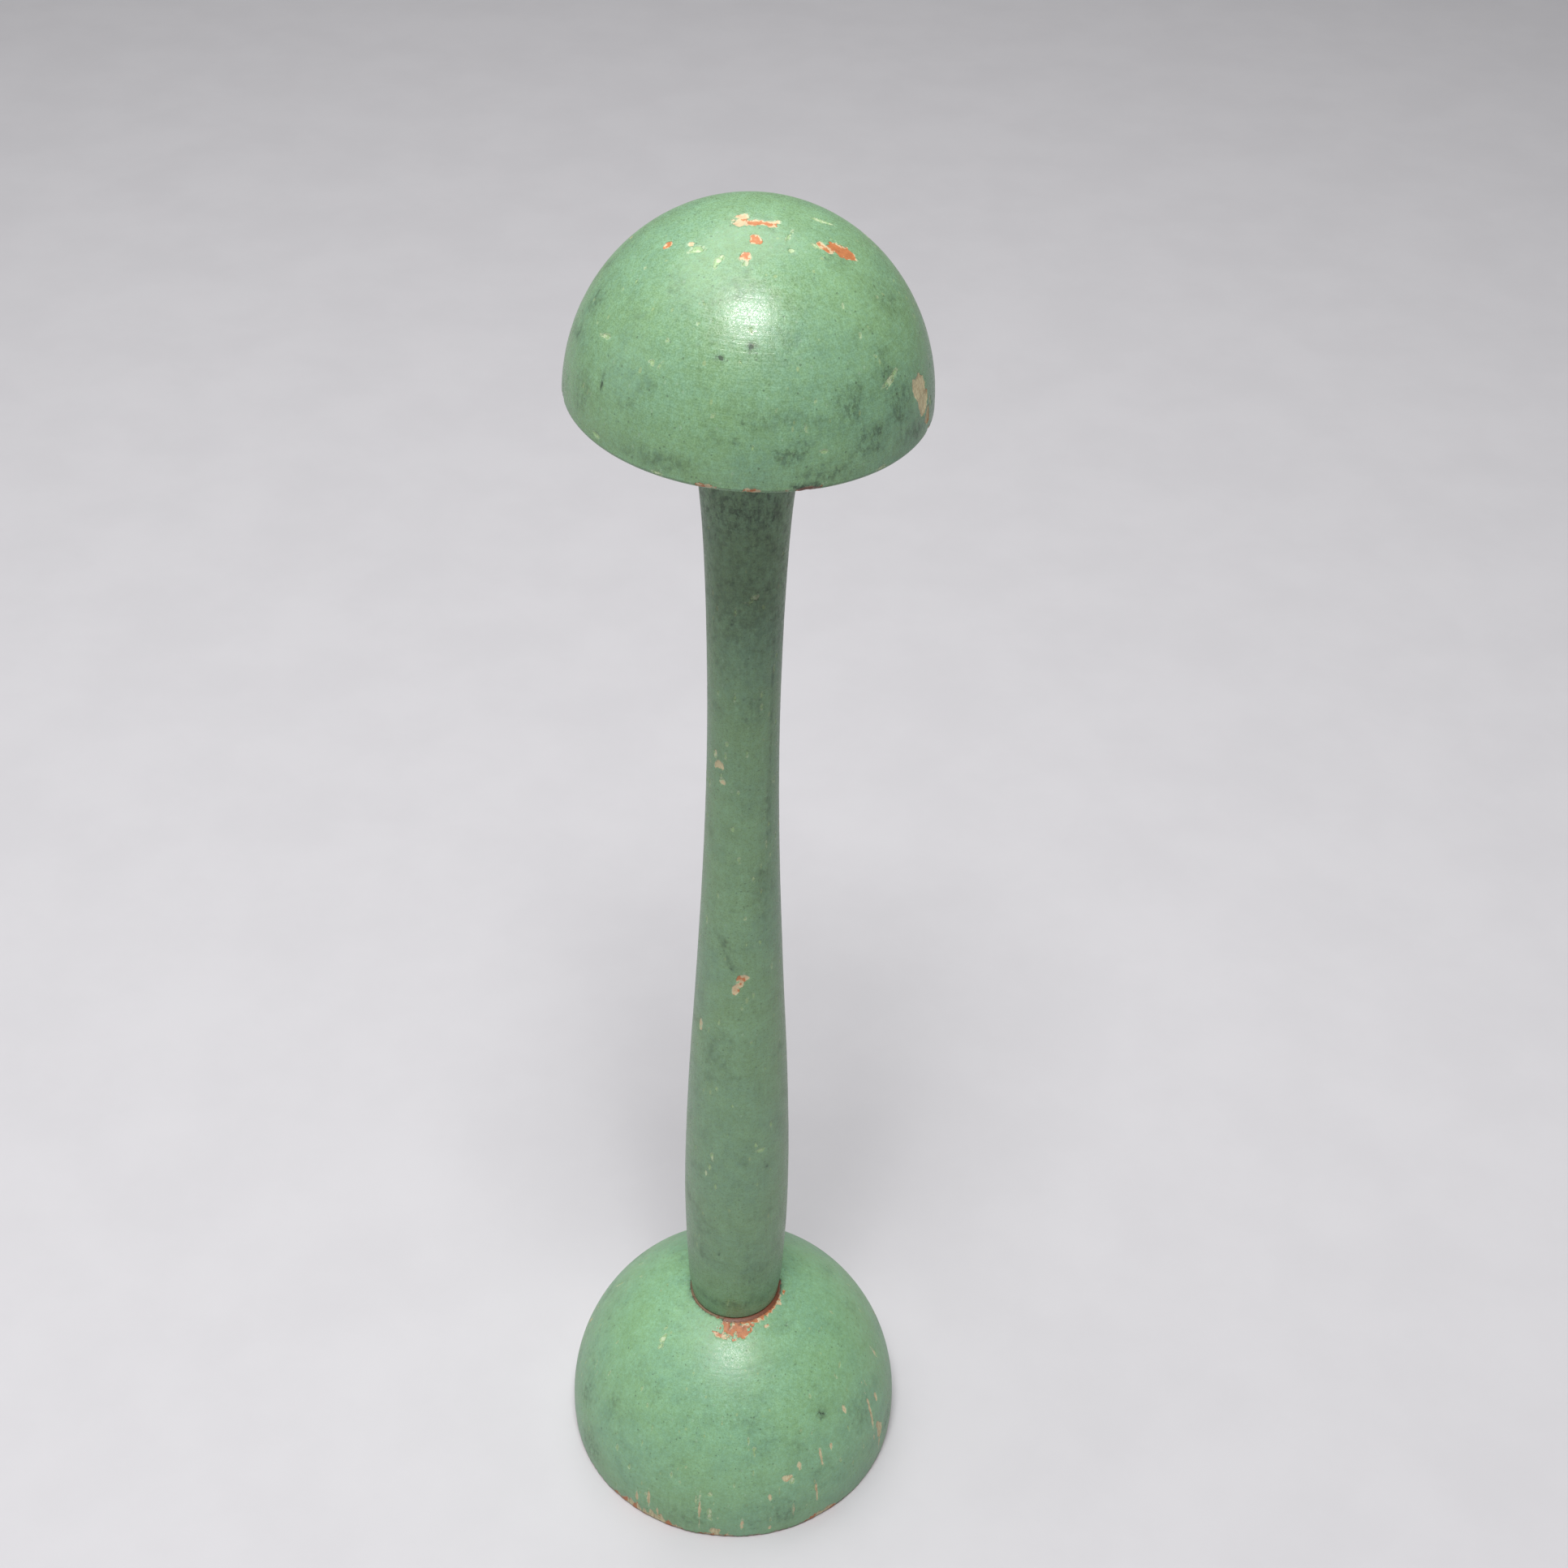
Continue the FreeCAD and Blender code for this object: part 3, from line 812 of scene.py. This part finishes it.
# degrees round, degrees up from the rim, half width, half length, layer, tilt
HEAD_FLAKES = [
    (-8, 82.6, 4.6, 1.2, 0.95, 0),
    (3, 83.1, 4.0, 1.3, 1.05, 0),
    (34, 82.2, 1.6, 0.9, 0.95, 0),
    (-51, 83.6, 1.7, 1.3, 0.8, 30),
    (-35, 79.8, 1.9, 1.2, 0.85, 30),
    (-2, 75.3, 1.8, 1.6, 1.15, 0),
    (-9, 68.0, 1.4, 1.6, 0.95, 0),
    (-8, 66.0, 0.7, 1.0, 0.5, -20),
    (-68, 60.7, 1.0, 1.2, 1.15, 0),
    (-55, 66.0, 1.0, 0.8, 0.9, 0),
    (-46, 65.0, 2.3, 0.6, 0.44, 40),
    (-48, 65.8, 1.4, 0.5, 0.3, 40),
    (97, 71.7, 0.8, 2.8, 0.42, 0),
    (40, 76.0, 2.4, 0.35, 0.3, 30),
    (30, 70.0, 0.8, 0.8, 0.3, 0),
    (-27, 64.1, 0.9, 1.7, 0.45, 0),
    (69, 64.0, 2.5, 3.1, 1.2, 20),
    (72, 60.5, 2.2, 2.2, 1.2, 0),
    (60, 67.3, 1.4, 2.4, 1.0, 10),
    (55, 68.8, 0.7, 1.4, 0.4, 30),
    (53, 26.0, 3.2, 0.5, 0.42, 18),
    (52, 24.5, 1.6, 0.35, 0.3, 18),
    (67, 17.6, 4.0, 3.4, 2.0, -20),
    (69, 12.5, 3.6, 3.4, 1.9, -20),
    (72, 6.5, 1.9, 2.4, 1.7, 0),
    (75, 9.5, 1.0, 1.2, 0.6, 0),
    (-35, 31.0, 0.8, 0.7, 0.45, 0),
    (-59, 30.3, 2.2, 0.6, 0.6, 20),
    (-50, 4.0, 1.6, 0.8, 0.3, 0),
    (24, 12.0, 1.2, 0.5, 0.3, 0),
    (19, 1.2, 4.4, 1.0, 1.15, 0),
    (3, 1.2, 2.2, 0.9, 1.1, 0),
    (-11, 1.1, 2.6, 0.8, 1.0, 0),
    (-26, 1.3, 1.4, 0.6, 0.5, 0),
    (45, 1.3, 1.6, 0.6, 0.5, 0),
]
for angle, latitude, across, along, layer, tilt in HEAD_FLAKES:
    head_wear.flake(angle, up_the_dome(latitude), across, along, layer, tilt)
# degrees round, degrees up from the rim, half width, half length, strength, tilt
HEAD_SMUDGES = [
    (0, 40.9, 1.8, 1.6, 1.0, 0),
    (-11, 37.3, 1.6, 1.4, 1.1, 0),
    (-1, 20.2, 1.5, 1.3, 0.8, 0),
    (-3, 15.0, 1.4, 1.0, 0.7, 0),
    (-52, 18.9, 0.75, 3.2, 1.0, 8),
    (41, 12.0, 8.0, 5.5, 0.62, 15),
    (34, 23.0, 7.0, 6.0, 0.55, 0),
    (14, 12.7, 7.0, 3.4, 0.65, 15),
    (55, 17.0, 7.0, 7.0, 0.6, 0),
    (52, 26.0, 5.0, 5.0, 0.4, 0),
    (8, 22.0, 10.0, 4.0, 0.3, 0),
    (62, 7.0, 9.0, 4.0, 0.5, 0),
    (25, 5.0, 10.0, 3.0, 0.55, 0),
    (-25, 6.0, 12.0, 3.0, 0.45, 0),
    (-62, 12.0, 6.0, 7.0, 0.4, 0),
    (62, 62.0, 6.0, 5.0, 0.3, 0),
    (20, 1.2, 6.5, 2.4, 1.0, 0),
    (70, 45.0, 8.0, 8.0, 0.28, 0),
]
for angle, latitude, across, along, strength, tilt in HEAD_SMUDGES:
    head_wear.darken_spot(angle, up_the_dome(latitude), across, along, strength, tilt)
knocks = random.Random(5)
for _ in range(13):
    latitude = knocks.choice((knocks.uniform(3, 18), knocks.uniform(30, 56)))
    head_wear.flake(
        knocks.uniform(112, 255), up_the_dome(latitude), knocks.uniform(0.5, 2.0),
        knocks.uniform(0.5, 2.4), knocks.choice((0.3, 0.4, 1.0, 1.15, 1.15, 2.0)),
        knocks.uniform(-40, 40),
    )
for _ in range(16):
    head_wear.flake(
        knocks.uniform(60, 300), up_the_dome(knocks.uniform(0.6, 1.8)),
        knocks.uniform(0.8, 4.0), knocks.uniform(0.45, 1.0),
        knocks.choice((0.45, 0.6, 1.0, 1.15, 1.8)),
    )
for _ in range(14):
    head_wear.darken_spot(
        knocks.uniform(90, 290), up_the_dome(knocks.uniform(4, 40)), knocks.uniform(3, 9),
        knocks.uniform(2, 6), knocks.uniform(0.25, 0.65), knocks.uniform(-20, 20),
    )
for _ in range(60):
    head_wear.flake(
        knocks.uniform(0, 360), up_the_dome(knocks.triangular(2, 80, 30)), knocks.uniform(0.22, 0.36),
        knocks.uniform(0.3, 0.8), knocks.uniform(0.1, 0.25), knocks.uniform(-60, 60),
    )
head_wear.lay_on(DOME_PAINT)
head_dome.location = (0, 0, HEAD_RIM_Z * MM)
head_dome.rotation_euler = (0, HEAD_LEAN, 0)
bpy.ops.object.select_all(action="DESELECT")
head_dome.select_set(True)
bpy.context.view_layer.objects.active = head_dome
bpy.ops.object.transform_apply(location=True, rotation=True, scale=True)
head_green = painted_wood(
    "head_green", green=(0.186, 0.328, 0.184), green_warm=(0.196, 0.338, 0.164),
    green_cool=(0.176, 0.322, 0.200), dulled=0.0, lean=HEAD_LEAN, pivot=(0, 0, HEAD_RIM_Z * MM),
)
give(head_dome, head_green, "head_paint", "head_dome")

# ---- The screw -----------------------------------------------------------------------------------
# A plain steel wood screw with a slotted countersunk head, dull and a little rusty, driven up
# through the base into the foot of the stem.

DULL_STEEL = (0.33, 0.32, 0.30)
RUST = (0.16, 0.10, 0.065)
screw_steel = bpy.data.materials.new("screw_steel")
screw_steel.use_nodes = True
steel_tree = screw_steel.node_tree
steel_shader = steel_tree.nodes["Principled BSDF"]
steel_place = node(steel_tree, "TexCoord").outputs["Object"]
stain = clouds(steel_tree, steel_place, 1.8, 5.0, 0.65)
rusty = ramp(steel_tree, stain, 0.46, 0.66)
steel_colour = blend_colour(steel_tree, rusty, DULL_STEEL, RUST)
steel_tree.links.new(steel_colour, steel_shader.inputs["Base Color"])
steel_tree.links.new(ramp(steel_tree, stain, 0.4, 0.7, 0.36, 0.75), steel_shader.inputs["Roughness"])
steel_shader.inputs["Metallic"].default_value = 0.9
turned_marks = node(
    steel_tree, "Bump",
    {"Height": clouds(steel_tree, steel_place, 0.35, 3.0), "Distance": 0.03 * MM, "Strength": 1.0},
)
steel_tree.links.new(turned_marks.outputs[0], steel_shader.inputs["Normal"])
base_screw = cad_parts["base_screw"]
base_screw.data.materials.clear()
base_screw.data.materials.append(screw_steel)

# ---- Floor, light and camera ---------------------------------------------------------------------
# A pale table top. One large soft lamp hangs high on the camera's side, a second lights the table
# behind the stand, a weak third stands at the left, and the room itself is dim.

FLOOR_R = 6.0
FLOOR_TONE = (0.518, 0.508, 0.526)
FLOOR_TONE_LIGHT = (0.538, 0.528, 0.546)
bpy.ops.object.select_all(action="DESELECT")
bpy.ops.mesh.primitive_circle_add(vertices=96, radius=FLOOR_R, fill_type="NGON", location=(0, 0, 0))
floor = bpy.context.object
floor.name = "floor"
floor_paint = bpy.data.materials.new("floor_paint")
floor_paint.use_nodes = True
floor_tree = floor_paint.node_tree
floor_shader = floor_tree.nodes["Principled BSDF"]
floor_place = node(floor_tree, "TexCoord").outputs["Object"]
floor_cloud = ramp(floor_tree, clouds(floor_tree, floor_place, 60, 5.0, 0.6), 0.3, 0.7)
floor_colour = blend_colour(floor_tree, floor_cloud, FLOOR_TONE, FLOOR_TONE_LIGHT)
floor_tree.links.new(floor_colour, floor_shader.inputs["Base Color"])
floor_shader.inputs["Roughness"].default_value = 0.6
floor_shader.inputs["Specular IOR Level"].default_value = 0.25
floor.data.materials.append(floor_paint)


def hang_lamp(name, wide, deep, watts, place, aim):
    """A soft rectangular lamp that faces a point."""
    lamp_data = bpy.data.lights.new(name, "AREA")
    lamp_data.shape = "RECTANGLE"
    lamp_data.size = wide
    lamp_data.size_y = deep
    lamp_data.energy = watts
    lamp = bpy.data.objects.new(name, lamp_data)
    bpy.context.scene.collection.objects.link(lamp)
    lamp.location = place
    lamp.rotation_euler = (Vector(place) - Vector(aim)).to_track_quat("Z", "Y").to_euler()


hang_lamp("front_lamp", 1.05, 1.05, watts=92, place=(-0.065, -0.995, 2.915), aim=(0, 0, 0.3))
hang_lamp("back_lamp", 1.8, 1.0, watts=15, place=(-0.28, 0.48, 1.65), aim=(-0.1, 0.34, 0))
hang_lamp("side_lamp", 1.0, 1.0, watts=1.6, place=(-1.6, -0.2, 0.7), aim=(0, 0, 0.25))

room = bpy.data.worlds.new("room")
room.use_nodes = True
background = room.node_tree.nodes["Background"]
background.inputs["Color"].default_value = (0.9, 0.92, 0.95, 1)
background.inputs["Strength"].default_value = 0.11
bpy.context.scene.world = room

CAMERA_LENS = 54.36
CAMERA_PLACE = (0.0126, -0.557, 0.7662)
CAMERA_PITCH = math.radians(39.37)
CAMERA_ROLL = math.radians(1.69)
camera_data = bpy.data.cameras.new("camera")
camera_data.sensor_width = 36
camera_data.lens = CAMERA_LENS
camera_data.clip_start = 0.01
camera_data.clip_end = 50
camera = bpy.data.objects.new("camera", camera_data)
bpy.context.scene.collection.objects.link(camera)
camera.location = CAMERA_PLACE
aim = Matrix.Rotation(math.pi / 2 - CAMERA_PITCH, 3, "X") @ Matrix.Rotation(CAMERA_ROLL, 3, "Z")
camera.rotation_euler = aim.to_euler()
bpy.context.scene.camera = camera
bpy.context.scene.view_settings.view_transform = "Standard"
bpy.context.scene.view_settings.look = "None"
